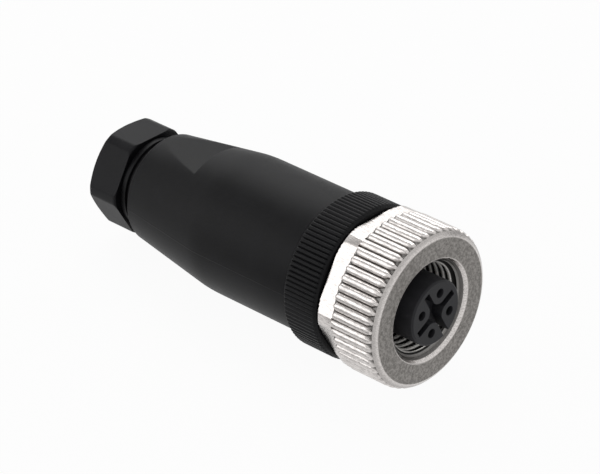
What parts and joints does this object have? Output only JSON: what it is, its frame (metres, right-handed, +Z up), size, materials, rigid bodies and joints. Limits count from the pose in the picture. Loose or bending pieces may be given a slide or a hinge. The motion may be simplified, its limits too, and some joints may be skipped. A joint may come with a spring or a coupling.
{
  "type": "circular connector",
  "caption": "Straight circular cable socket with a ribbed screw-on nut, pin sockets in a keyed insert, a tapered black housing and a hexagonal cable gland.",
  "frame": {"origin": "centre of the contact circle on the insert's mating face", "axes": "+X along the connector's axis, out of the mating face towards the mate; the cable leaves towards -X; +Z up, with a flat of the housing and of the gland nut facing up"},
  "size_m": [0.051, 0.02, 0.02],
  "materials": {
    "nickel_plate": "bright nickel plating on ribs and thread, fine matt front face",
    "housing_plastic": "black moulded plastic, satin",
    "collar_plastic": "black moulded plastic, fine straight ribs",
    "gland_plastic": "black moulded plastic, matt",
    "insert_plastic": "black moulded plastic, matt",
    "cage_plastic": "dark grey moulded plastic",
    "gold_plate": "gold plating on turned brass",
    "screw_steel": "plated steel",
    "spring_steel": "bright spring steel",
    "seal_rubber": "moulded rubber",
    "cable_rubber": "moulded rubber"
  },
  "bodies": {
    "carrier": {"contact_insert": "insert_plastic", "grip_collar": "collar_plastic", "mating_seal": "seal_rubber", "retaining_ring": "spring_steel", "socket_contact_1": "gold_plate", "socket_contact_2": "gold_plate", "socket_contact_3": "gold_plate", "socket_contact_4": "gold_plate", "sleeve_seal": "seal_rubber"},
    "nut": {"coupling_nut": "nickel_plate"},
    "seal": {"cable_seal": "cable_rubber"},
    "sleeve": {"housing_sleeve": "housing_plastic"},
    "cage": {"clamp_cage": "cage_plastic"},
    "gland": {"gland_nut": "gland_plastic"},
    "guard_1": {"wire_guard_1": "spring_steel"},
    "screw_1": {"terminal_screw_1": "screw_steel"},
    "guard_2": {"wire_guard_2": "spring_steel"},
    "screw_2": {"terminal_screw_2": "screw_steel"},
    "guard_3": {"wire_guard_3": "spring_steel"},
    "screw_3": {"terminal_screw_3": "screw_steel"},
    "guard_4": {"wire_guard_4": "spring_steel"},
    "screw_4": {"terminal_screw_4": "screw_steel"}
  },
  "joints": [
    {"name": "nut_turn", "type": "hinge", "parent": "carrier", "child": "nut", "pos_m": [-0.00075, 0, 0], "axis": [1, 0, 0], "continuous": true},
    {"name": "sleeve_travel", "type": "slide", "parent": "carrier", "child": "seal", "axis": [1, 0, 0], "range_m": [-0.005, 0]},
    {"name": "sleeve_turn", "type": "hinge", "parent": "seal", "child": "sleeve", "pos_m": [-0.0154, 0, 0], "axis": [1, 0, 0], "range_deg": [-1800, 0]},
    {"name": "gland_travel", "type": "slide", "parent": "sleeve", "child": "cage", "axis": [1, 0, 0], "range_m": [-0.003, 0]},
    {"name": "gland_turn", "type": "hinge", "parent": "cage", "child": "gland", "pos_m": [-0.04615, 0, 0], "axis": [1, 0, 0], "range_deg": [-1080, 0]},
    {"name": "guard_1_travel", "type": "slide", "parent": "carrier", "child": "guard_1", "axis": [0, 0.2823, 0.9593], "range_m": [0, 0.0012]},
    {"name": "screw_1_turn", "type": "hinge", "parent": "guard_1", "child": "screw_1", "pos_m": [-0.0241, 0.00113, 0.00384], "axis": [0, 0.2823, 0.9593], "range_deg": [0, 1080]},
    {"name": "guard_2_travel", "type": "slide", "parent": "carrier", "child": "guard_2", "axis": [0, -0.9593, 0.2823], "range_m": [0, 0.0012]},
    {"name": "screw_2_turn", "type": "hinge", "parent": "guard_2", "child": "screw_2", "pos_m": [-0.0241, -0.00384, 0.00113], "axis": [0, -0.9593, 0.2823], "range_deg": [0, 1080]},
    {"name": "guard_3_travel", "type": "slide", "parent": "carrier", "child": "guard_3", "axis": [0, -0.2823, -0.9593], "range_m": [0, 0.0012]},
    {"name": "screw_3_turn", "type": "hinge", "parent": "guard_3", "child": "screw_3", "pos_m": [-0.0241, -0.00113, -0.00384], "axis": [0, -0.2823, -0.9593], "range_deg": [0, 1080]},
    {"name": "guard_4_travel", "type": "slide", "parent": "carrier", "child": "guard_4", "axis": [0, 0.9593, -0.2823], "range_m": [0, 0.0012]},
    {"name": "screw_4_turn", "type": "hinge", "parent": "guard_4", "child": "screw_4", "pos_m": [-0.0241, 0.00384, -0.00113], "axis": [0, 0.9593, -0.2823], "range_deg": [0, 1080]}
  ],
  "couplings": [
    {"joint": "sleeve_turn", "follows": "sleeve_travel", "rad_per_m": 6283.1},
    {"joint": "gland_turn", "follows": "gland_travel", "rad_per_m": 6283.1},
    {"joint": "screw_1_turn", "follows": "guard_1_travel", "rad_per_m": 15707},
    {"joint": "screw_2_turn", "follows": "guard_2_travel", "rad_per_m": 15707},
    {"joint": "screw_3_turn", "follows": "guard_3_travel", "rad_per_m": 15707},
    {"joint": "screw_4_turn", "follows": "guard_4_travel", "rad_per_m": 15707}
  ]
}
